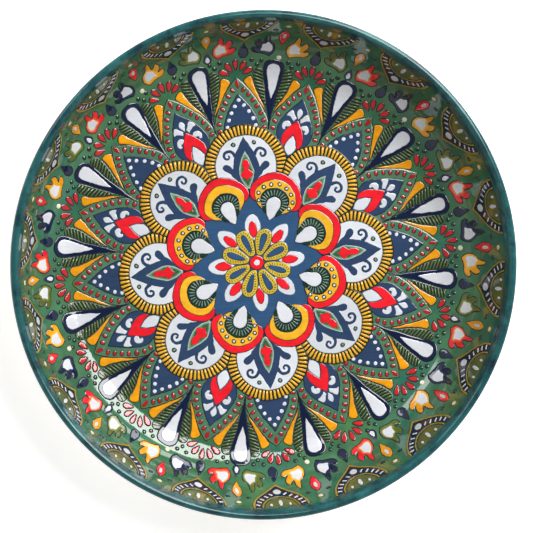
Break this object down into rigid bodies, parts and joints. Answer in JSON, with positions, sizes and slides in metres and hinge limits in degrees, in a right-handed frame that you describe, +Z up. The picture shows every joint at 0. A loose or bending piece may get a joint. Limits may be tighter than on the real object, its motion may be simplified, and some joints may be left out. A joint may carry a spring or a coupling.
{
  "type": "deep plate",
  "caption": "Round deep plate on a low foot ring, its well painted with a raised enamel rosette and a border of lunettes and tulips.",
  "frame": {"origin": "middle of the foot ring's resting plane, on the table", "axes": "+Z up along the plate's axis; +X to the right as the pattern is drawn, which sets only how the pattern is turned"},
  "size_m": [0.205, 0.205, 0.04],
  "materials": {
    "clay": "unglazed, fine grained",
    "green_glaze": "glossy",
    "outer_glaze": "glossy",
    "teal_glaze": "glossy, mottled",
    "white_enamel": "glossy",
    "red_enamel": "glossy",
    "yellow_enamel": "glossy",
    "navy_enamel": "glossy",
    "blue_enamel": "glossy",
    "green_enamel": "glossy",
    "dark_green_enamel": "glossy",
    "olive_enamel": "glossy",
    "cream_enamel": "glossy"
  },
  "bodies": {
    "root": {"clay_dish": "clay", "ground_glaze": "green_glaze", "lip_band": "teal_glaze", "outer_glaze": "outer_glaze", "foot_well_glaze": "outer_glaze", "centre_boss": "red_enamel", "centre_spot": "white_enamel", "loop_petals": "yellow_enamel", "loop_eyes": "blue_enamel", "white_petals": "white_enamel", "petal_ovals": "red_enamel", "crescents_red": "red_enamel", "crescents_yellow": "yellow_enamel", "crescents_dotted": "yellow_enamel", "crescent_dots": "dark_green_enamel", "crescent_hearts": "dark_green_enamel", "crescent_drops": "white_enamel", "medallion_rings": "yellow_enamel", "medallion_fields": "white_enamel", "medallion_ogives": "navy_enamel", "medallion_scrolls": "navy_enamel", "medallion_almonds": "green_enamel", "medallion_fleurs": "red_enamel", "medallion_dots": "green_enamel", "dotted_leaves": "navy_enamel", "leaf_dots": "white_enamel", "fleur_leaves": "navy_enamel", "leaf_chevrons": "red_enamel", "leaf_diamonds": "white_enamel", "leaf_petals": "white_enamel", "leaf_ribbons": "green_enamel", "ribbon_seeds": "red_enamel", "white_teardrops": "white_enamel", "teardrop_surrounds": "navy_enamel", "hatched_combs": "dark_green_enamel", "yellow_flames": "yellow_enamel", "fan_petals": "red_enamel", "garland_beads": "dark_green_enamel", "lunette_edges": "yellow_enamel", "lunette_bands": "navy_enamel", "lunette_arcs": "yellow_enamel", "lunette_fields": "olive_enamel", "lunette_ovals": "white_enamel", "finial_drops": "navy_enamel", "tulips_red": "red_enamel", "tulips_yellow": "yellow_enamel", "tulips_navy": "navy_enamel", "tulips_olive": "olive_enamel", "tulip_hearts": "white_enamel", "drops_red": "red_enamel", "drops_yellow": "yellow_enamel", "small_white_drops": "white_enamel", "star_field": "blue_enamel", "small_drop_surrounds": "navy_enamel", "small_yellow_dots": "cream_enamel", "cream_dots": "cream_enamel", "border_beads": "dark_green_enamel"}
  },
  "joints": []
}
